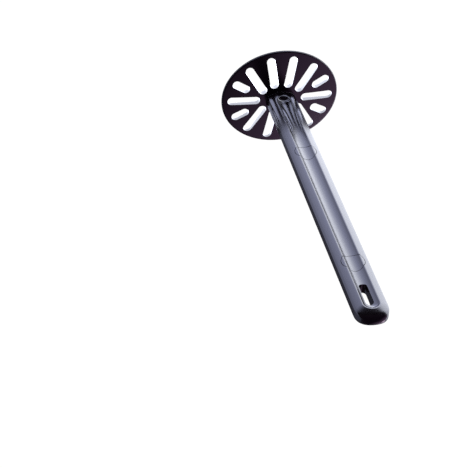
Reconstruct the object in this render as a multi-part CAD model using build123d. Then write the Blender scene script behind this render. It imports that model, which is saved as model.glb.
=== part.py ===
from build123d import *
import math
import os

# A long-handled masher, in millimetres.
# Origin: middle of the mashing plate's flat underside.
# +Z runs up the handle, and the grooved front of the handle faces -Y.

# Mashing plate: an oval, slightly domed disc with a fan of slots
plate_half_x = 45.4
plate_half_y = 39.7
plate_edge_height = 2.2
dome_rise = 2.8
rim_top_round = 1.1
rim_foot_round = 0.9
foot_trim = 0.1

# Slots, as the middle of each slot's rounded outer end, on an oval inside the rim
slot_half_width = 3.25
slot_oval_x = 37.7
slot_oval_y = 32.8
# For one quarter of the plate: turn round the oval, where the slot points on the long axis, length
slot_rows = (
    (0.0, 0.0, 18.4),
    (25.2, 9.0, 7.6),
    (49.4, 8.8, 19.5),
    (76.8, 3.2, 19.4),
)

# Handle: a bar with a bowed front, whose faces fall away towards its rounded top end
handle_width = 22.1
handle_depth = 12.6
crown_radius = 18.0
front_corner = 1.4
back_corner = 3.7
handle_top = 265.6
handle_top_corner = 8.5
end_fall_start = 252.4
end_fall = 3.6
handle_foot = 8.2
wall = 1.9

# Groove down the handle's front, with a spherical end at each end
groove_half_width = 5.95
groove_depth = 3.5
groove_wall = 1.8
groove_bottom_z = 15.9
groove_top_z = 251.5

# Joint between handle and plate: the shells' spigot in the hub's socket
socket_wall = 1.7
socket_corner = 2.5
socket_floor = 4.4
socket_gap = 0.05
flare_width = 2.4
flare_bottom = 3.4
flare_top = 6.8

# Stiffening core inside the handle, with a foot moulded into the hub
core_half_width = 4.0
core_front = 0.6
core_back = 3.8
core_bottom = 2.6
core_top = 226.4
core_gap = 0.05
foot_width = 18.0
foot_depth = 8.0
foot_height = 1.4
eye_radius = 7.4
eye_hole_radius = 5.7

# Cavity of the two handle shells
cavity_bottom = 12.5
cavity_top = 253.8
cavity_corner = 3.0

# The two screws that close the handle, and the round plugs over them
screw_heights = {"lower": 83.9, "upper": 210.5}
plug_radius = 7.95
plug_gap = 0.05
plug_floor = -1.2
seat_radius = 9.6
boss_radius = 5.5
boss_meet = 2.0
head_radius = 3.2
head_seat = 0.75
head_gap = 0.3
shank_radius = 1.45
shank_end = 5.1
shank_hole_radius = 1.7
pilot_radius = 1.47
pilot_end = 5.3
drive_width = 0.9
drive_length = 4.0
drive_depth = 1.1

# Hang slot through the top of the handle
hang_low = 234.1
hang_high = 248.9
hang_half_width = 2.75
hang_tube_wall = 1.8
hang_step = 0.25

half_depth = handle_depth / 2
reach = 400.0
slack = 1.0


def sphere_radius(half_span, rise):
    return (half_span**2 + rise**2) / (2 * rise)


def along_y(radius, low, high, z):
    """A round bar along Y from low to high, at height z."""
    return Pos(0, (low + high) / 2, z) * Rot(90, 0, 0) * Cylinder(radius, high - low)


def block(x, y, z):
    """A box from its lowest and highest value on each axis."""
    size = [high - low for low, high in (x, y, z)]
    middle = [(low + high) / 2 for low, high in (x, y, z)]
    return Pos(*middle) * Box(*size)


def upright(sketch, low, high):
    """A flat outline in XY, stood up from z = low to z = high."""
    return extrude(Pos(0, 0, low) * sketch, high - low)


def along_x(radius, y, z):
    """A long round bar along X."""
    return Pos(0, y, z) * Rot(0, 90, 0) * Cylinder(radius, 2 * reach)


def handle_section():
    """The handle's outline seen from above, with its bowed front towards -Y."""
    bow = Pos(0, crown_radius - half_depth) * Circle(crown_radius)
    section = Rectangle(handle_width, handle_depth) & bow
    section = fillet(section.vertices().group_by(Axis.Y)[0], front_corner)
    return fillet(section.vertices().group_by(Axis.Y)[-1], back_corner)


def inner_section(inset, corner):
    """An outline inside the handle's own, by inset all round and with the same bowed front."""
    section = RectangleRounded(handle_width - 2 * inset, handle_depth - 2 * inset, corner)
    return section & Pos(0, crown_radius - half_depth) * Circle(crown_radius - inset)


def groove(extra):
    """The groove's tool, or its outer wall when extra is the wall's thickness."""
    radius = sphere_radius(groove_half_width, groove_depth)
    y = -half_depth + groove_depth - radius
    bar = upright(Pos(0, y) * Circle(radius + extra), groove_bottom_z, groove_top_z)
    for z in (groove_bottom_z, groove_top_z):
        bar += Pos(0, y, z) * Sphere(radius + extra)
    return bar


def hang_bar(extra, low, high):
    """An obround bar along Y through the hang slot's place."""
    outline = SlotCenterToCenter(hang_high - hang_low, 2 * (hang_half_width + extra), rotation=90)
    middle = (hang_low + hang_high) / 2
    bar = extrude(Plane.XZ * outline, high - low)
    return Pos(0, high, middle) * bar


def slot_places():
    """Middle, turn and length of each slot in the plate."""
    places = []
    for turn, aim_x, length in slot_rows:
        outer = Vector(slot_oval_x, 0).rotate(Axis.Z, turn)
        outer = Vector(outer.X, outer.Y * slot_oval_y / slot_oval_x)
        inward = (Vector(aim_x, 0) - outer).normalized()
        middle = outer + inward * (length / 2)
        angle = Vector(1, 0).get_signed_angle(inward, Vector(0, 0, 1))
        mirrors = ((1, 1), (-1, 1)) if turn == 0 else ((1, 1), (-1, 1), (-1, -1), (1, -1))
        for side_x, side_y in mirrors:
            places.append((middle.X * side_x, middle.Y * side_y, angle * side_x * side_y, length))
    return places


def make_core():
    middle_y = (core_front + core_back) / 2
    core = block((-core_half_width, core_half_width), (core_front, core_back), (core_bottom, core_top))
    core += Pos(0, middle_y, core_bottom + foot_height / 2) * Box(foot_width, foot_depth, foot_height)
    for z in screw_heights.values():
        core += along_y(eye_radius, core_front, core_back, z)
    for z in screw_heights.values():
        core -= along_y(eye_hole_radius, core_front - slack, core_back + slack, z)
    return core


def plate_blank():
    """The domed disc, turned as a round one, drawn in along Y to its oval and trimmed flat."""
    top = plate_edge_height + dome_rise
    foot_x = plate_half_x - rim_foot_round
    shoulder_x = plate_half_x - rim_top_round
    top_radius = sphere_radius(plate_half_x, dome_rise)
    shoulder_z = top - top_radius + (top_radius**2 - shoulder_x**2) ** 0.5
    under = Line((0, -foot_trim), (foot_x, -foot_trim))
    foot = JernArc((foot_x, -foot_trim), (1, 0), rim_foot_round, 90)
    side = Line((plate_half_x, rim_foot_round - foot_trim), (plate_half_x, shoulder_z - rim_top_round))
    shoulder = JernArc((plate_half_x, shoulder_z - rim_top_round), (0, 1), rim_top_round, 90)
    dome = RadiusArc((shoulder_x, shoulder_z), (0, top), -top_radius)
    axis = Line((0, top), (0, -foot_trim))
    profile = Plane.XZ * make_face([under, foot, side, shoulder, dome, axis])
    oval = scale(revolve(profile, Axis.Z), by=(1, plate_half_y / plate_half_x, 1)).solid()
    return oval - block((-reach, reach), (-reach, reach), (-reach, 0))


def make_plate(core):
    plate = plate_blank()
    plate += upright(handle_section(), plate_edge_height, handle_foot)
    flare_foot = Pos(0, 0, flare_bottom) * offset(handle_section(), flare_width)
    flare_head = Pos(0, 0, flare_top) * handle_section()
    plate += loft([flare_foot, flare_head], ruled=True)

    for x, y, angle, length in slot_places():
        outline = SlotCenterToCenter(length, 2 * slot_half_width, rotation=angle)
        plate -= upright(Pos(x, y) * outline, -slack, reach)
    plate -= upright(inner_section(socket_wall, socket_corner), socket_floor, reach)
    return plate - core


def rim_edges(blank, side):
    """The edges round the handle's side wall, at the front for side -1 and at the back for 1."""
    walls = [face for face in blank.faces() if abs(face.normal_at().Y) < 0.01]
    edges = [edge for face in walls for edge in face.edges()]
    return [edge for edge in edges if edge.center().Y * side > slack
            and edge.bounding_box().max.Z > handle_foot + slack]


def handle_blank():
    """The whole handle above the joint as one solid, without its groove and hang slot."""
    height = handle_top - handle_foot
    outline = Plane.XZ * Pos(0, handle_foot + height / 2) * Rectangle(handle_width, height)
    outline = fillet(outline.vertices().group_by(Axis.Z)[-1], handle_top_corner)
    blank = extrude(outline, half_depth, both=True)
    blank &= upright(Pos(0, crown_radius - half_depth) * Circle(crown_radius), 0, reach)
    end = block((-reach, reach), (-reach, reach), (end_fall_start, reach))
    fall_radius = sphere_radius(handle_top - end_fall_start, end_fall)
    for y in (fall_radius - half_depth, half_depth - fall_radius):
        blank -= end - along_x(fall_radius, y, end_fall_start)
    blank = fillet(rim_edges(blank, -1), front_corner)
    return fillet(rim_edges(blank, 1), back_corner)


def spigot():
    return upright(inner_section(socket_wall + socket_gap, socket_corner), socket_floor, handle_foot)


def cavity():
    return upright(inner_section(wall, cavity_corner), cavity_bottom, cavity_top)


front_side = block((-reach, reach), (-reach, 0), (-reach, reach))
back_side = block((-reach, reach), (0, reach), (-reach, reach))


def make_plug(blank, z):
    plug = along_y(plug_radius, -half_depth - slack, plug_floor, z)
    return (plug & blank) - groove(0)


def make_front_shell(blank):
    shell = (blank + spigot()) & front_side
    shell -= cavity() - groove(groove_wall)
    for z in screw_heights.values():
        shell += along_y(seat_radius, -half_depth, 0, z) & blank
        shell += along_y(boss_radius, plug_floor, boss_meet, z)
    shell -= groove(0)
    for z in screw_heights.values():
        shell -= along_y(plug_radius + plug_gap, -half_depth - slack, plug_floor, z)
        shell -= along_y(head_radius + head_gap, plug_floor - slack, head_seat, z)
        shell -= along_y(shank_hole_radius, plug_floor, boss_meet + slack, z)
    return shell - hang_bar(hang_step, -half_depth - slack, slack)


def make_back_shell(blank):
    shell = (blank + spigot()) & back_side
    shell -= cavity()
    shell += hang_bar(hang_tube_wall, -half_depth, half_depth - wall) - groove(groove_wall)
    for z in screw_heights.values():
        shell += along_y(boss_radius, boss_meet, half_depth - wall, z)
        shell -= along_y(pilot_radius, boss_meet - slack, pilot_end, z)
    core_x = (-core_half_width - core_gap, core_half_width + core_gap)
    core_y = (core_front - core_gap, core_back + core_gap)
    shell -= block(core_x, core_y, (0, cavity_bottom))
    return shell - hang_bar(0, -half_depth - slack, half_depth + slack)


def make_screw(z):
    screw = along_y(head_radius, plug_floor + core_gap, head_seat, z)
    screw += along_y(shank_radius, head_seat, shank_end, z)
    for turn in (0, 90):
        bit = Box(drive_length, 2 * drive_depth, drive_width)
        screw -= Pos(0, plug_floor + core_gap, z) * Rot(0, turn, 0) * bit
    return screw


def make_parts():
    core = make_core()
    blank = handle_blank()
    parts = {
        "mash_plate": make_plate(core),
        "handle_core": core,
        "handle_front_shell": make_front_shell(blank),
        "handle_back_shell": make_back_shell(blank),
    }
    for name, z in screw_heights.items():
        parts[name + "_screw_plug"] = make_plug(blank, z)
        parts[name + "_handle_screw"] = make_screw(z)
    return parts


os.makedirs("parts", exist_ok=True)
for node, solid in make_parts().items():
    solid.label = node
    export_step(solid, "parts/" + node + ".step")
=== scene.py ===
import math

import bmesh
import bpy
from mathutils import Matrix, Vector


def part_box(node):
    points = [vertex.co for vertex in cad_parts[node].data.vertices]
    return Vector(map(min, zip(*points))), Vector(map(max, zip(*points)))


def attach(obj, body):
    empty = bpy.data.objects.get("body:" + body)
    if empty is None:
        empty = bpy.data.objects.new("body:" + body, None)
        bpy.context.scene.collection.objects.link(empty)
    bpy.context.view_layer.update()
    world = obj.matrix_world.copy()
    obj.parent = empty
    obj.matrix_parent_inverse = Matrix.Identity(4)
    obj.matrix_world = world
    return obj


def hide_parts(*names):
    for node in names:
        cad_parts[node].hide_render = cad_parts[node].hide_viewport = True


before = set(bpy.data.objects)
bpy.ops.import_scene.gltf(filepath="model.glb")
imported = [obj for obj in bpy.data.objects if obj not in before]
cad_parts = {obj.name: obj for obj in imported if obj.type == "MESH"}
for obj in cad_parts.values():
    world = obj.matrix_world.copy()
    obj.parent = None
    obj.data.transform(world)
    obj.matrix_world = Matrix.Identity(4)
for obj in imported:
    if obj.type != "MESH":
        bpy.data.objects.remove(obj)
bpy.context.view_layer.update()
mm = 0.001
tiny = 1e-6                         # metres, for telling whether two points are level
print("masher frame loaded,", len(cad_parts), "CAD parts")

shellLow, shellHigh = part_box("handle_front_shell")
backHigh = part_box("handle_back_shell")[1]
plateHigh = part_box("mash_plate")[1]


def newPiece(bm, name):
    mesh = bpy.data.meshes.new(name)
    bm.to_mesh(mesh)
    bm.free()
    piece = bpy.data.objects.new(name, mesh)
    bpy.context.scene.collection.objects.link(piece)
    return piece


def applyModifiers(piece):
    bpy.context.view_layer.update()
    graph = bpy.context.evaluated_depsgraph_get()
    finished = bpy.data.meshes.new_from_object(piece.evaluated_get(graph))
    piece.modifiers.clear()
    spare = piece.data
    piece.data = finished
    finished.name = piece.name
    bpy.data.meshes.remove(spare)


def carve(piece, tool, operation="DIFFERENCE"):
    # one boolean, applied at once, and the tool is thrown away
    step = piece.modifiers.new("carve", "BOOLEAN")
    step.operation = operation
    step.solver = "EXACT"
    step.object = tool
    applyModifiers(piece)
    spare = tool.data
    bpy.data.objects.remove(tool)
    bpy.data.meshes.remove(spare)


def copyPiece(piece, name):
    twin = piece.copy()
    twin.data = piece.data.copy()
    twin.name = name
    bpy.context.scene.collection.objects.link(twin)
    return twin


def toolFrom(bm):
    bmesh.ops.recalc_face_normals(bm, faces=bm.faces)
    return newPiece(bm, "tool")


def addBar(bm, radius, low, high, z, stretch=0.0, segments=64):
    # a round bar along Y from low to high, pulled up into an obround one by stretch
    made = bmesh.ops.create_cone(bm, cap_ends=True, segments=segments, radius1=radius,
                                 radius2=radius, depth=high - low)["verts"]
    bmesh.ops.rotate(bm, verts=made, matrix=Matrix.Rotation(math.pi / 2, 3, "X"))
    upper = [v for v in made if v.co.z > tiny]
    bmesh.ops.translate(bm, verts=upper, vec=(0, 0, stretch))
    bmesh.ops.translate(bm, verts=made, vec=(0, (low + high) / 2, z))


def vertsOf(geom):
    return [g for g in geom if isinstance(g, bmesh.types.BMVert)]


def edgesOf(geom):
    return [g for g in geom if isinstance(g, bmesh.types.BMEdge)]


def everything(bm):
    return bm.verts[:] + bm.edges[:] + bm.faces[:]


def edgesWhere(bm, test):
    return [e for e in bm.edges if test(*(v.co for v in e.verts))]


def softenEdges(bm, edges, radius, segments):
    bmesh.ops.bevel(bm, geom=edges, affect="EDGES", offset=radius, segments=segments,
                    profile=0.5, material=-1, clamp_overlap=True)


def arcDrop(radius, across):
    # how far an arc has fallen below its top at a distance across
    return radius - math.sqrt(radius ** 2 - across ** 2)


def share(value, low, high):
    # 0 at low, 1 at high, and straight between them
    return min(1, max(0, (value - low) / (high - low)))


handle = {
    "halfWidth": shellHigh.x,
    "front": shellLow.y,
    "back": backHigh.y,
    "seam": plateHigh.z,            # where the shells stand on the plate's hub
    "top": shellHigh.z,
    "endCentre": 251.8 * mm,        # middle of the round ends of the groove
    "archCentre": 15.8 * mm,
    "grooveHalf": 5.4 * mm,
    "grooveDepth": 3.5 * mm,
    "lip": 0.9 * mm,
    "frontCorner": 1.4 * mm,
    "backCorner": 3.7 * mm,
    "frontCrown": 18 * mm,          # radius of the bowed front
    "backCrown": 400 * mm,
    "endFall": 3.2 * mm,            # how far the faces fall away at the top end
    "endFallStart": 252.4 * mm,
    "tipRound": 2.7 * mm,           # extra rounding at the very tip
    "scoop": (221 * mm, 232 * mm, 240 * mm, 257 * mm),   # shallow hollow in the back round the hang slot
    "scoopShare": 0.33,             # its depth as a share of the back's depth
    "scoopWidth": (3.2 * mm, 8.0 * mm),   # from the middle out, where it starts to rise and where it ends
    "endPower": 2.2,                # squareness of the end's outline
    "grooveSteps": 9,
    "lipSteps": 5,
    "frontSteps": 8,
    "backSteps": 9,
    "flatCuts": 4,
    "rowStep": 4 * mm,
    "endSteps": 16,
    "archSteps": 12,                # an even number
}


def grooveRadius():
    return (handle["grooveHalf"] ** 2 + handle["grooveDepth"] ** 2) / (2 * handle["grooveDepth"])


def handleSection(bm, z):
    # half of the section, from the middle of the groove out and round to the middle of the back
    h = handle
    radius = grooveRadius()
    start = bm.verts.new((0, h["front"] + h["grooveDepth"], z))
    spun = bmesh.ops.spin(bm, geom=[start], cent=(0, h["front"] + h["grooveDepth"] - radius, z),
                          axis=(0, 0, -1), angle=math.asin(h["grooveHalf"] / radius),
                          steps=h["grooveSteps"])
    lip = vertsOf(spun["geom_last"])[0]
    corner = lip
    corners = [(lip, h["lip"], h["lipSteps"])]
    for x, y, size, segments in ((h["halfWidth"], h["front"], h["frontCorner"], h["frontSteps"]),
                                 (h["halfWidth"], 0, 0, 0),
                                 (h["halfWidth"], h["back"], h["backCorner"], h["backSteps"]),
                                 (0, h["back"], 0, 0)):
        corner = bmesh.ops.extrude_vert_indiv(bm, verts=[corner])["verts"][0]
        corner.co = (x, y, z)
        if size:
            corners.append((corner, size, segments))
    for corner, size, segments in corners:
        bmesh.ops.bevel(bm, geom=[corner], affect="VERTICES", offset=size, segments=segments,
                        profile=0.5, material=-1)
    flats = edgesWhere(bm, lambda a, b: abs(a.y - b.y) < tiny)
    bmesh.ops.subdivide_edges(bm, edges=flats, cuts=h["flatCuts"])


def handleSkin():
    # the whole handle as one closed skin, with a flat front and back
    h = handle
    bm = bmesh.new()
    handleSection(bm, h["endCentre"])
    section = bm.verts[:] + bm.edges[:]
    sectionEdges = bm.edges[:]
    bmesh.ops.spin(bm, geom=section, cent=(0, 0, h["endCentre"]), axis=(0, -1, 0),
                   angle=math.pi / 2, steps=h["endSteps"])

    length = h["endCentre"] - h["archCentre"]
    rows = round(length / h["rowStep"])
    edges = sectionEdges
    for row in range(rows):
        edges = extrudeDown(bm, edges, length / rows)

    lipEdge = h["grooveHalf"] + h["lip"]
    inner = [e for e in edges if max(v.co.x for v in e.verts) < lipEdge + tiny
             and max(v.co.y for v in e.verts) < h["front"] + h["grooveDepth"] + tiny]
    outer = [e for e in edges if e not in inner]
    bmesh.ops.spin(bm, geom=inner + [v for v in bm.verts if set(v.link_edges) & set(inner)],
                   cent=(0, 0, h["archCentre"]), axis=(0, 1, 0), angle=math.pi / 2, steps=h["archSteps"])
    drop = h["archCentre"] - h["seam"]
    half = h["archSteps"] // 2
    for row in range(half):
        outer = extrudeDown(bm, outer, drop / half)
    squareArch(bm, lipEdge, drop, half)

    bmesh.ops.mirror(bm, geom=everything(bm), merge_dist=tiny, axis="X")
    bmesh.ops.remove_doubles(bm, verts=bm.verts, dist=tiny)
    bmesh.ops.holes_fill(bm, edges=[e for e in bm.edges if e.is_boundary], sides=0)
    bmesh.ops.recalc_face_normals(bm, faces=bm.faces)
    return bm


def extrudeDown(bm, edges, step):
    made = bmesh.ops.extrude_edge_only(bm, edges=edges)["geom"]
    bmesh.ops.translate(bm, verts=vertsOf(made), vec=(0, 0, -step))
    return edgesOf(made)


def squareArch(bm, lipEdge, drop, half):
    # carry the round lip of the arch out to the square foot of the shell
    h = handle
    centre = h["archCentre"]

    def onArch(v):
        return (abs(math.hypot(v.x, v.z - centre) - lipEdge) < tiny and v.z < centre + tiny
                and abs(v.y - h["front"]) < tiny)

    made = bmesh.ops.extrude_edge_only(bm, edges=edgesWhere(bm, lambda a, b: onArch(a) and onArch(b)))["geom"]
    for v in vertsOf(made):
        step = round(math.atan2(centre - v.co.z, v.co.x) / (math.pi / 2) * 2 * half)
        v.co.x = lipEdge * min(1, (2 * half - step) / half)
        v.co.z = centre - drop * min(1, step / half)


def tipDrop(x, z):
    # extra rounding at the tip, which fades out towards the sides
    h = handle
    up = z - h["endCentre"]
    if up <= 0:
        return 0
    reach = math.hypot(x, up)
    tip = h["tipRound"] * (up / reach) ** 2
    close = max(0, tip - max(0, h["halfWidth"] - reach))
    return arcDrop(tip, min(tip, close))


def insideScoop(x, z):
    # 1 in the bottom of the scoop, 0 outside it
    start, deep, rising, end = handle["scoop"]
    flat, far = handle["scoopWidth"]
    inside = share(z, start, deep) * share(z, end, rising) * share(abs(x), far, flat)
    return inside * inside * (3 - 2 * inside)


def squareEnd(v, rise):
    # carry the round end out to its squarer outline
    h = handle
    lipEdge = h["grooveHalf"] + h["lip"]
    height = v.co.z - h["endCentre"]
    reach = math.hypot(v.co.x, height)
    if height < tiny or reach <= lipEdge:
        return
    across, up = abs(v.co.x) / reach, height / reach
    power = h["endPower"]
    outline = ((across / h["halfWidth"]) ** power + (up / rise) ** power) ** (-1 / power)
    grow = (reach - lipEdge) / (h["halfWidth"] - lipEdge) * (outline - h["halfWidth"])
    v.co.x += math.copysign(across * grow, v.co.x)
    v.co.z += up * grow


def bowHandle(bm):
    # bow the front and back, let both fall away at the top end, and square up the end's outline
    h = handle
    rise = h["top"] - h["endCentre"]
    fallLength = h["top"] - h["endFallStart"]
    fallRadius = (fallLength ** 2 + h["endFall"] ** 2) / (2 * h["endFall"])
    for v in bm.verts:
        x, y, z = v.co
        face, crown = (h["front"], h["frontCrown"]) if y < 0 else (h["back"], h["backCrown"])
        along = min(fallLength, max(0, z - h["endFallStart"]) * rise / h["halfWidth"])
        bow = arcDrop(crown, min(abs(x), h["halfWidth"])) + arcDrop(fallRadius, along) + tipDrop(x, z)
        v.co.y = y - math.copysign(min(1, y / face) * bow, y)
        if y > 0:
            v.co.y *= 1 - h["scoopShare"] * insideScoop(x, z)
        squareEnd(v, rise)


def makeHandleSolid():
    bm = handleSkin()
    bowHandle(bm)
    return newPiece(bm, "handleSolid")


# the two shells, split at the middle of the handle, hollow, with a pocket for each plug
shells = {
    "screwHeights": [83.9 * mm, 210.5 * mm],
    "cavityHalf": 9.1 * mm,
    "cavityFront": -1.9 * mm,
    "cavityBack": 4.4 * mm,
    "cavityLow": 12.5 * mm,
    "cavityHigh": 227 * mm,
    "cavityCorner": (3.0 * mm, 4),   # radius and segments, here and in the plate
    "grooveWall": 1.8 * mm,
    "pocket": 8.0 * mm,
    "pocketFloor": -1.2 * mm,
    "seat": 9.6 * mm,
    "headHole": 3.5 * mm,
    "hangLow": 234.1 * mm,
    "hangHigh": 248.9 * mm,
    "hangHalf": 2.75 * mm,
    "edgeBreak": 0.12 * mm,
}


def grooveBar(extra):
    # the groove's own round-ended bar, or its outer wall when extra is the wall
    h = handle
    radius = grooveRadius()
    bm = bmesh.new()
    bmesh.ops.create_uvsphere(bm, u_segments=48, v_segments=24, radius=radius + extra)
    upper = [v for v in bm.verts if v.co.z > tiny]
    bmesh.ops.translate(bm, verts=upper, vec=(0, 0, h["endCentre"] - h["archCentre"]))
    bmesh.ops.translate(bm, verts=bm.verts, vec=(0, h["front"] + h["grooveDepth"] - radius, h["archCentre"]))
    return toolFrom(bm)


def hangTool(low, high):
    bm = bmesh.new()
    addBar(bm, shells["hangHalf"], low, high, shells["hangLow"], shells["hangHigh"] - shells["hangLow"])
    return toolFrom(bm)


def barsTool(radius, low, high):
    bm = bmesh.new()
    for z in shells["screwHeights"]:
        addBar(bm, radius, low, high, z)
    return toolFrom(bm)


def cavityTool():
    s = shells
    bm = bmesh.new()
    bmesh.ops.create_cube(bm, size=1)
    size = (2 * s["cavityHalf"], s["cavityBack"] - s["cavityFront"], s["cavityHigh"] - s["cavityLow"])
    middle = (0, (s["cavityBack"] + s["cavityFront"]) / 2, (s["cavityHigh"] + s["cavityLow"]) / 2)
    bmesh.ops.scale(bm, verts=bm.verts, vec=size)
    bmesh.ops.translate(bm, verts=bm.verts, vec=middle)
    softenEdges(bm, edgesWhere(bm, lambda a, b: abs(a.z - b.z) > mm), *s["cavityCorner"])
    cavity = toolFrom(bm)
    carve(cavity, grooveBar(s["grooveWall"]))
    return cavity


def halfOf(solid, name, side):
    # side is 1 for the front half, which lies towards -Y, and -1 for the back half
    bm = bmesh.new()
    bm.from_mesh(solid.data)
    bmesh.ops.bisect_plane(bm, geom=everything(bm), dist=tiny / 10,
                           plane_co=(0, 0, 0), plane_no=(0, side, 0), clear_outer=True)
    bmesh.ops.holes_fill(bm, edges=[e for e in bm.edges if e.is_boundary], sides=0)
    bmesh.ops.recalc_face_normals(bm, faces=bm.faces)
    return newPiece(bm, name)


def breakEdges(piece, width, angle=40):
    # small round on every sharp edge, then smooth shading that stays true on the flats
    step = piece.modifiers.new("edge break", "BEVEL")
    step.limit_method = "ANGLE"
    step.angle_limit = math.radians(angle)
    step.width = width
    step.segments = 2
    step.profile = 0.5
    step.use_clamp_overlap = True
    applyModifiers(piece)
    shadeSmooth(piece)


def shadeSmooth(piece, angle=35):
    bm = bmesh.new()
    bm.from_mesh(piece.data)
    bmesh.ops.remove_doubles(bm, verts=bm.verts, dist=tiny / 5)
    for face in bm.faces:
        face.smooth = True
    for edge in bm.edges:
        edge.smooth = edge.calc_face_angle(0) < math.radians(angle)
    bm.to_mesh(piece.data)
    bm.free()
    step = piece.modifiers.new("true normals", "WEIGHTED_NORMAL")
    step.mode = "FACE_AREA"
    step.keep_sharp = True
    step.weight = 50


def makeShells(solid):
    s = shells
    front = halfOf(solid, "gripFront", 1)
    back = halfOf(solid, "gripBack", -1)
    seats = barsTool(s["seat"], handle["front"] - mm, mm)
    frontCavity = cavityTool()
    carve(frontCavity, seats)
    carve(front, frontCavity)
    carve(front, barsTool(s["pocket"], handle["front"] - mm, s["pocketFloor"]))
    carve(front, barsTool(s["headHole"], s["pocketFloor"] - mm, mm))
    carve(back, cavityTool())
    for shell in (front, back):
        carve(shell, hangTool(handle["front"] - mm, handle["back"] + mm))
        breakEdges(shell, s["edgeBreak"])
    return front, back


plugs = {
    "radius": 7.66 * mm,            # a little under the pocket's, which leaves a fine ring round each
    "names": ["lowerPlug", "upperPlug"],
}


def makePlugs(solid):
    made = []
    for name, z in zip(plugs["names"], shells["screwHeights"]):
        bm = bmesh.new()
        addBar(bm, plugs["radius"], handle["front"] - mm, shells["pocketFloor"], z, segments=96)
        plug = toolFrom(bm)
        plug.name = name
        carve(plug, copyPiece(solid, "tool"), "INTERSECT")
        shadeSmooth(plug)
        made.append(plug)
    return made


handleSolid = makeHandleSolid()
gripFront, gripBack = makeShells(handleSolid)
lowerPlug, upperPlug = makePlugs(handleSolid)
bpy.data.objects.remove(handleSolid)
print("handle shells and plugs made")


plate = {
    "halfX": plateHigh.x - 0.01 * mm,
    "halfY": plateHigh.y - 0.01 * mm,
    "edge": 2.2 * mm,               # thickness of the rim
    "domeRise": 2.8 * mm,
    "rimTop": (1.1 * mm, 6),
    "rimFoot": (0.9 * mm, 5),
    "slotRound": (0.25 * mm, 3),
    "hubFillet": (3.8 * mm, 6),
    "hubTop": (0.1 * mm, 1),
    "hubCorner": 8,                 # segments round each corner of the hub
    "hubStrips": 9,                 # strips, 1 mm wide, on each side of the hub's middle
    "slotHalf": 3.2 * mm,
    "slotOval": (37.7 * mm, 32.8 * mm),   # where the outer ends of the slots lie
    # for a quarter of the plate, in degrees and millimetres: turn, where the slot aims on the
    # long axis, length
    "slotRows": [(0.0, 0.0, 18.4), (25.2, 9.0, 7.6), (49.4, 8.8, 19.5), (76.8, 3.2, 19.4)],
    "slotSteps": 40,
    "slotToolDepth": 40 * mm,
    "rimSteps": 160,
    "gridStep": 3.0 * mm,
    "slack": 0.1 * mm,              # for telling the hub's edges from the rest
    "rimFrom": 0.995,               # and the rim's, in plate radii
    "sharpFrom": 50,                # degrees
}


def slotTool():
    bm = bmesh.new()
    for turn, aim, length in plate["slotRows"]:
        angle = math.radians(turn)
        outer = Vector((plate["slotOval"][0] * math.cos(angle), plate["slotOval"][1] * math.sin(angle), 0))
        inward = (Vector((aim * mm, 0, 0)) - outer).normalized()
        for sideX, sideY in ((1, 1), (-1, 1), (-1, -1), (1, -1)):
            if turn == 0 and sideY < 0:
                continue
            end = Vector((outer.x * sideX, outer.y * sideY, 0))
            heading = math.atan2(inward.y * sideY, inward.x * sideX)
            addSlot(bm, end, heading, length * mm)
    return toolFrom(bm)


def addSlot(bm, end, heading, length):
    p = plate
    made = bmesh.ops.create_cone(bm, cap_ends=True, segments=p["slotSteps"], radius1=p["slotHalf"],
                                 radius2=p["slotHalf"], depth=p["slotToolDepth"])["verts"]
    ahead = [v for v in made if v.co.x > tiny]
    bmesh.ops.translate(bm, verts=ahead, vec=(length, 0, 0))
    bmesh.ops.rotate(bm, verts=made, matrix=Matrix.Rotation(heading, 3, "Z"))
    bmesh.ops.translate(bm, verts=made, vec=end)


def hubTool():
    # the short stub that the handle stands on, with the handle's own bowed section
    h = handle
    bm = bmesh.new()
    bmesh.ops.create_cube(bm, size=1)
    low = plate["edge"] / 2
    bmesh.ops.scale(bm, verts=bm.verts, vec=(2 * h["halfWidth"], h["back"] - h["front"], h["seam"] - low))
    bmesh.ops.translate(bm, verts=bm.verts, vec=(0, (h["front"] + h["back"]) / 2, (h["seam"] + low) / 2))
    for side, size in ((-1, h["frontCorner"]), (1, h["backCorner"])):
        corners = edgesWhere(bm, lambda a, b: abs(a.z - b.z) > mm and a.y * side > 0)
        softenEdges(bm, corners, size, plate["hubCorner"])
    for strip in range(-plate["hubStrips"], plate["hubStrips"] + 1):
        bmesh.ops.bisect_plane(bm, geom=everything(bm), dist=tiny / 10,
                               plane_co=(strip * mm, 0, 0), plane_no=(1, 0, 0))
    for v in bm.verts:
        face, crown = (h["front"], h["frontCrown"]) if v.co.y < 0 else (h["back"], h["backCrown"])
        bow = arcDrop(crown, min(abs(v.co.x), h["halfWidth"]))
        v.co.y -= math.copysign(bow * v.co.y / face, v.co.y)
    return toolFrom(bm)


def domePlate(bm):
    # raise the top of the flat disc into its dome, fading out down to the flat foot and up the hub
    p = plate
    for v in bm.verts:
        reach = math.hypot(v.co.x / p["halfX"], v.co.y / p["halfY"])
        dome = p["domeRise"] * (1 - reach ** 2)
        if v.co.z <= p["edge"]:
            v.co.z += dome * max(0, v.co.z / p["edge"])
        else:
            v.co.z += dome * (handle["seam"] - v.co.z) / (handle["seam"] - p["edge"])


def ringAt(bm, z):
    # the sharp edges that lie flat at height z
    flat = edgesWhere(bm, lambda a, b: abs(a.z - z) < tiny and abs(b.z - z) < tiny)
    return [e for e in flat if e.calc_face_angle(0) > math.radians(plate["sharpFrom"])]


def atRim(e):
    p = plate
    return all(math.hypot(v.co.x / p["halfX"], v.co.y / p["halfY"]) > p["rimFrom"] for v in e.verts)


def atHub(e):
    wide, deep = handle["halfWidth"] + plate["slack"], handle["back"] + plate["slack"]
    return all(abs(v.co.x) < wide and abs(v.co.y) < deep for v in e.verts)


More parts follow.
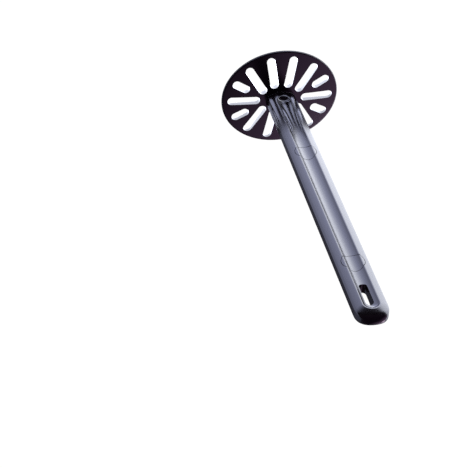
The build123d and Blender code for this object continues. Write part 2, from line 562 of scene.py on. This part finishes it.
def makePlate():
    p = plate
    bm = bmesh.new()
    bmesh.ops.create_circle(bm, cap_ends=True, segments=p["rimSteps"], radius=1)
    bmesh.ops.scale(bm, verts=bm.verts, vec=(p["halfX"], p["halfY"], 1))
    grown = bmesh.ops.extrude_face_region(bm, geom=bm.faces[:])["geom"]
    bmesh.ops.translate(bm, verts=vertsOf(grown), vec=(0, 0, p["edge"]))
    piece = toolFrom(bm)
    piece.name = "slottedPlate"
    carve(piece, hubTool(), "UNION")

    bm = bmesh.new()
    bm.from_mesh(piece.data)
    bmesh.ops.remove_doubles(bm, verts=bm.verts, dist=tiny)
    softenEdges(bm, [e for e in ringAt(bm, p["edge"]) if atHub(e)], *p["hubFillet"])
    softenEdges(bm, [e for e in ringAt(bm, p["edge"]) if atRim(e)], *p["rimTop"])
    softenEdges(bm, [e for e in ringAt(bm, 0) if atRim(e)], *p["rimFoot"])
    softenEdges(bm, ringAt(bm, handle["seam"]), *p["hubTop"])
    bm.to_mesh(piece.data)
    bm.free()
    carve(piece, slotTool())

    bm = bmesh.new()
    bm.from_mesh(piece.data)
    bmesh.ops.remove_doubles(bm, verts=bm.verts, dist=tiny)
    for z in (0, p["edge"]):
        softenEdges(bm, ringAt(bm, z), *p["slotRound"])
    steps = math.ceil(p["halfX"] / p["gridStep"])
    for axis in ((1, 0, 0), (0, 1, 0)):
        for step in range(-steps, steps + 1):
            spot = Vector(axis) * step * p["gridStep"]
            bmesh.ops.bisect_plane(bm, geom=everything(bm), dist=tiny,
                                   plane_co=spot, plane_no=axis)
    domePlate(bm)
    bmesh.ops.recalc_face_normals(bm, faces=bm.faces)
    bm.to_mesh(piece.data)
    bm.free()
    shadeSmooth(piece)
    return piece


slottedPlate = makePlate()
print("mashing plate made")


def newMaterial(name):
    material = bpy.data.materials.new(name)
    material.use_nodes = True
    tree = material.node_tree
    return material, tree, tree.nodes["Principled BSDF"]


def addNode(tree, kind, **settings):
    node = tree.nodes.new(kind)
    for key, value in settings.items():
        if hasattr(node, key):
            setattr(node, key, value)
        else:
            node.inputs[key].default_value = value
    return node


def calc(tree, operation, *values):
    # a Math node, fed by sockets or plain numbers
    node = addNode(tree, "ShaderNodeMath", operation=operation)
    for socket, value in zip(node.inputs, values):
        if isinstance(value, bpy.types.NodeSocket):
            tree.links.new(value, socket)
        else:
            socket.default_value = value
    return node.outputs[0]


def spread(tree, source, fromLow, fromHigh, toLow, toHigh, soft=False):
    # a Map Range node, with soft ends if asked
    node = addNode(tree, "ShaderNodeMapRange", interpolation_type="SMOOTHSTEP" if soft else "LINEAR")
    for socket, value in zip(node.inputs[1:5], (fromLow, fromHigh, toLow, toHigh)):
        socket.default_value = value
    tree.links.new(source, node.inputs["Value"])
    return node.outputs["Result"]


def choose(tree, kind, factor, low, high):
    # a Mix node of any kind between two sockets, colours or numbers
    node = addNode(tree, "ShaderNodeMix", data_type=kind)
    tree.links.new(factor, node.inputs["Factor"])
    for letter, value in (("A", low), ("B", high)):
        if isinstance(value, bpy.types.NodeSocket):
            tree.links.new(value, node.inputs[letter])
        else:
            node.inputs[letter].default_value = value
    return node.outputs["Result"]


def blend(tree, factor, low, high):
    return choose(tree, "RGBA", factor, low, high)


def noiseAt(tree, stretch, detail):
    # noise over Object coordinates, stretched along the handle by a small third number
    spot = addNode(tree, "ShaderNodeTexCoord")
    pull = addNode(tree, "ShaderNodeMapping", Scale=stretch)
    noise = addNode(tree, "ShaderNodeTexNoise", Scale=1, Detail=detail)
    tree.links.new(spot.outputs["Object"], pull.inputs["Vector"])
    tree.links.new(pull.outputs["Vector"], noise.inputs["Vector"])
    return noise.outputs["Fac"]


midTones = (0.3, 0.7)               # where most of a noise lies
white = (1, 1, 1, 1)

nylon = {
    "body": (0.0048, 0.0022, 0.0056, 1),
    "bodyLight": (0.0068, 0.0034, 0.0080, 1),
    "worn": (0.030, 0.026, 0.036, 1),
    "tint": (0.95, 0.96, 1.0, 1),
    "ior": 1.53,
    "rough": (0.185, 0.215),
    "scratchRough": 0.10,
    "cloudScale": (45, 45, 45),
    "grainScale": (3400, 3400, 3400),
    "hairScale": (2600, 2600, 55),  # scratches run along the handle
    "hairFrom": (0.66, 0.74),       # only the highest hairs are scratches
    "edgeFrom": (0.53, 0.62),       # how sharp an edge is before it looks worn
    "edgeMost": 0.5,
    "bump": 0.012,
    "bumpDepth": 0.02 * mm,
}


def makeNylon():
    n = nylon
    material, tree, shader = newMaterial("darkNylon")
    link = tree.links.new
    cloud = noiseAt(tree, n["cloudScale"], 3)
    grain = noiseAt(tree, n["grainScale"], 2)
    hair = noiseAt(tree, n["hairScale"], 3)
    scratch = spread(tree, hair, *n["hairFrom"], 0, 1)
    pointed = addNode(tree, "ShaderNodeNewGeometry").outputs["Pointiness"]
    body = blend(tree, spread(tree, cloud, *midTones, 0, 1), n["body"], n["bodyLight"])
    edge = spread(tree, pointed, *n["edgeFrom"], 0, n["edgeMost"])
    link(blend(tree, edge, body, n["worn"]), shader.inputs["Base Color"])
    rough = spread(tree, cloud, *midTones, *n["rough"])
    link(calc(tree, "MULTIPLY_ADD", scratch, n["scratchRough"], rough), shader.inputs["Roughness"])
    bump = addNode(tree, "ShaderNodeBump", Strength=n["bump"], Distance=n["bumpDepth"])
    link(calc(tree, "MULTIPLY_ADD", scratch, -0.5, grain), bump.inputs["Height"])
    link(bump.outputs["Normal"], shader.inputs["Normal"])
    shader.inputs["IOR"].default_value = n["ior"]
    shader.inputs["Specular Tint"].default_value = n["tint"]
    return material


# glass-filled nylon of the core, with short pale fibres just under the skin
filled = {
    "body": (0.045, 0.045, 0.05, 1),
    "fibre": (0.11, 0.11, 0.115, 1),
    "fibreScale": (3500, 3500, 420),
    "fibreFrom": (0.6, 0.7),
    "grainScale": (1500, 1500, 1500),
    "rough": (0.5, 0.68),
    "bump": 0.2,
    "bumpDepth": 0.05 * mm,
}


def makeFilledNylon():
    f = filled
    material, tree, shader = newMaterial("filledNylon")
    fibre = spread(tree, noiseAt(tree, f["fibreScale"], 2), *f["fibreFrom"], 0, 1)
    grain = noiseAt(tree, f["grainScale"], 3)
    tree.links.new(blend(tree, fibre, f["body"], f["fibre"]), shader.inputs["Base Color"])
    tree.links.new(spread(tree, grain, *midTones, *f["rough"]), shader.inputs["Roughness"])
    bump = addNode(tree, "ShaderNodeBump", Strength=f["bump"], Distance=f["bumpDepth"])
    tree.links.new(grain, bump.inputs["Height"])
    tree.links.new(bump.outputs["Normal"], shader.inputs["Normal"])
    return material


# bright zinc plate on the screws, a little blotched and brushed
steel = {
    "cool": (0.50, 0.51, 0.53, 1),
    "warm": (0.62, 0.61, 0.58, 1),
    "blotchScale": (900, 900, 900),
    "brushScale": (400, 9000, 400),
    "rough": (0.22, 0.4),
}


def makeScrewSteel():
    material, tree, shader = newMaterial("screwSteel")
    blotch = noiseAt(tree, steel["blotchScale"], 3)
    brushed = noiseAt(tree, steel["brushScale"], 2)
    tree.links.new(blend(tree, blotch, steel["cool"], steel["warm"]), shader.inputs["Base Color"])
    tree.links.new(spread(tree, brushed, *midTones, *steel["rough"]), shader.inputs["Roughness"])
    shader.inputs["Metallic"].default_value = 1
    return material


darkNylon = makeNylon()
filledNylon = makeFilledNylon()
screwSteel = makeScrewSteel()
print("finishes made")


standsFor = {
    gripFront: "handle_front_shell",
    gripBack: "handle_back_shell",
    lowerPlug: "lower_screw_plug",
    upperPlug: "upper_screw_plug",
    slottedPlate: "mash_plate",
}
for piece, node in standsFor.items():
    piece.data.materials.clear()
    piece.data.materials.append(darkNylon)
    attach(piece, "root")
    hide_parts(node)

finishFor = {
    "handle_core": filledNylon,
    "lower_handle_screw": screwSteel,
    "upper_handle_screw": screwSteel,
}
for node, material in finishFor.items():
    for slot in bpy.data.objects[node].material_slots:
        slot.material = material


studio = {
    "floorHalf": 20.0,
    "floorDrop": 0.2 * mm,
    "floorGlow": 1.05,
    # brightness of the floor as glossy surfaces see it, by direction from the object
    "sheen": [(-180, 0.05), (-145, 0.3), (-93, 4.5), (-53, 7.8), (-30, 7.4), (-14, 6.5),
              (21, 4.6), (61, 2.5), (94, 1.8), (118, 0.8), (150, 0.1), (180, 0.05)],
    "sheenScale": 10,
    "fadeLean": 0.35,               # the sheen dies away in front, between these two distances
    "fade": (0.23, 0.50),
    "ring": (1.0, 1.16),            # the floor is dark close round the plate, a painted shade, in plate radii
    "under": (0.95, 0.99),          # and has its own brightness under the plate
    "underNear": 6.8,               # seen from inside a slot
    "underFront": 4.4,              # seen from the handle, in front of it and behind
    "underBack": 0.7,
    "frontFrom": (0.0, 0.012),
    "nearWithin": (0.0065, 0.01),   # a ray from inside a slot is shorter than this
    "cool": (0.67, 0.71, 1.0, 1),
    "neutral": (0.86, 0.89, 1.0, 1),
    "neutralTo": (-45, 20),         # directions between which neutral turns cool
}


def swingOfLight(tree, angle):
    # a smooth swing of brightness round the object
    swing = addNode(tree, "ShaderNodeValToRGB")
    stops = swing.color_ramp.elements
    for number, (turn, level) in enumerate(studio["sheen"]):
        place = (turn + 180) / 360
        stop = stops[0] if number == 0 else stops[-1] if turn == 180 else stops.new(place)
        stop.position = place
        stop.color = (level / studio["sheenScale"],) * 3 + (1,)
    tree.links.new(spread(tree, angle, -180, 180, 0, 1), swing.inputs["Fac"])
    return calc(tree, "MULTIPLY", swing.outputs["Color"], studio["sheenScale"])


def plateRadii(tree, x, y):
    # distance from the middle of the plate, where 1 is its rim
    across = calc(tree, "POWER", calc(tree, "DIVIDE", x, plate["halfX"]), 2.0)
    along = calc(tree, "POWER", calc(tree, "DIVIDE", y, plate["halfY"]), 2.0)
    return calc(tree, "SQRT", calc(tree, "ADD", across, along))


def floorSheen(tree, rayLength):
    # brightness and colour of the floor as glossy surfaces see it
    spot = addNode(tree, "ShaderNodeTexCoord")
    apart = addNode(tree, "ShaderNodeSeparateXYZ")
    tree.links.new(spot.outputs["Object"], apart.inputs["Vector"])
    x, y = apart.outputs["X"], apart.outputs["Y"]
    ahead = calc(tree, "MULTIPLY", y, -1.0)
    angle = calc(tree, "DEGREES", calc(tree, "ARCTAN2", x, ahead))
    far = calc(tree, "MULTIPLY_ADD", x, studio["fadeLean"], ahead)
    radii = plateRadii(tree, x, y)
    sheen = swingOfLight(tree, angle)
    # the sheen fades away in front, and painted shade darkens it close round the plate
    for shade in (spread(tree, far, *studio["fade"], 1, 0, True),
                  spread(tree, radii, *studio["ring"], 0, 1, True)):
        sheen = calc(tree, "MULTIPLY", sheen, shade)

    # bright under the plate, which is seen through the slots
    under = spread(tree, radii, *studio["under"], 1, 0, True)
    near = spread(tree, rayLength, *studio["nearWithin"], 1, 0, True)
    fromHandle = spread(tree, ahead, *studio["frontFrom"], studio["underBack"], studio["underFront"], True)
    bright = calc(tree, "MULTIPLY_ADD", near, studio["underNear"], fromHandle)
    level = calc(tree, "MULTIPLY_ADD", under, bright, sheen)

    turned = spread(tree, angle, *studio["neutralTo"], 1, 0)
    turned = calc(tree, "MULTIPLY", turned, calc(tree, "SUBTRACT", 1.0, under))
    neutral = calc(tree, "MULTIPLY_ADD", under, near, turned)
    return level, blend(tree, neutral, studio["cool"], studio["neutral"])


def makeFloor():
    bm = bmesh.new()
    bmesh.ops.create_grid(bm, x_segments=1, y_segments=1, size=studio["floorHalf"])
    bmesh.ops.translate(bm, verts=bm.verts, vec=(0, 0, -studio["floorDrop"]))
    floor = newPiece(bm, "floor")
    material = bpy.data.materials.new("paleFloor")
    material.use_nodes = True
    tree = material.node_tree
    tree.nodes.clear()
    out = addNode(tree, "ShaderNodeOutputMaterial")
    glow = addNode(tree, "ShaderNodeEmission")
    paths = addNode(tree, "ShaderNodeLightPath")
    level, tint = floorSheen(tree, paths.outputs["Ray Length"])
    glossy = paths.outputs["Is Glossy Ray"]
    tree.links.new(blend(tree, glossy, white, tint), glow.inputs["Color"])
    tree.links.new(choose(tree, "FLOAT", glossy, studio["floorGlow"], level), glow.inputs["Strength"])
    tree.links.new(glow.outputs[0], out.inputs["Surface"])
    floor.data.materials.append(material)


softboxes = [
    # place, aim, size, power, colour
    ((-0.75, 1.0, 0.55), (0, 0, 0.1), (0.7, 0.5), 4, (1, 0.82, 1)),
]


def makeSoftboxes():
    for number, (place, aim, size, power, colour) in enumerate(softboxes):
        light = bpy.data.lights.new("softbox" + str(number), "AREA")
        light.shape = "RECTANGLE"
        light.size, light.size_y = size
        light.energy = power
        light.color = colour
        lamp = bpy.data.objects.new(light.name, light)
        lamp.location = place
        lamp.rotation_euler = (Vector(aim) - Vector(place)).to_track_quat("-Z", "Y").to_euler()
        bpy.context.scene.collection.objects.link(lamp)


sky = {
    "towards": (-0.70, 0.55, 0.45),   # the bright part of the sky, which only the camera doesn't see
    "lean": (0.52, 0.98),
    "level": (0.045, 0.78),
    "colour": (0.95, 0.58, 1.0, 1),
}


def makeWorld():
    world = bpy.data.worlds.new("studio")
    world.use_nodes = True
    tree = world.node_tree
    backdrop = tree.nodes["Background"]
    toCamera = addNode(tree, "ShaderNodeLightPath").outputs["Is Camera Ray"]
    ray = addNode(tree, "ShaderNodeTexCoord")
    lean = addNode(tree, "ShaderNodeVectorMath", operation="DOT_PRODUCT")
    tree.links.new(ray.outputs["Generated"], lean.inputs[0])
    lean.inputs[1].default_value = Vector(sky["towards"]).normalized()
    level = spread(tree, lean.outputs["Value"], *sky["lean"], *sky["level"], True)
    tree.links.new(blend(tree, toCamera, sky["colour"], white), backdrop.inputs["Color"])
    tree.links.new(choose(tree, "FLOAT", toCamera, level, studio["floorGlow"]), backdrop.inputs["Strength"])
    bpy.context.scene.world = world


camera = {
    "place": (220.18 * mm, -525.71 * mm, 826.8 * mm),
    "turn": 16.091,
    "tilt": 39.571,
    "roll": 161.979,
    "lens": 100,
    "sensor": 36,
}


def makeCamera():
    data = bpy.data.cameras.new("camera")
    data.lens = camera["lens"]
    data.sensor_width = camera["sensor"]
    view = bpy.data.objects.new("camera", data)
    turn = (Matrix.Rotation(math.radians(camera["turn"]), 4, "Z")
            @ Matrix.Rotation(math.radians(camera["tilt"]), 4, "X")
            @ Matrix.Rotation(math.radians(camera["roll"]), 4, "Z"))
    view.matrix_world = Matrix.Translation(camera["place"]) @ turn
    bpy.context.scene.collection.objects.link(view)
    bpy.context.scene.camera = view


makeFloor()
makeSoftboxes()
makeWorld()
makeCamera()
bpy.context.scene.view_settings.view_transform = "Standard"
print("studio made")
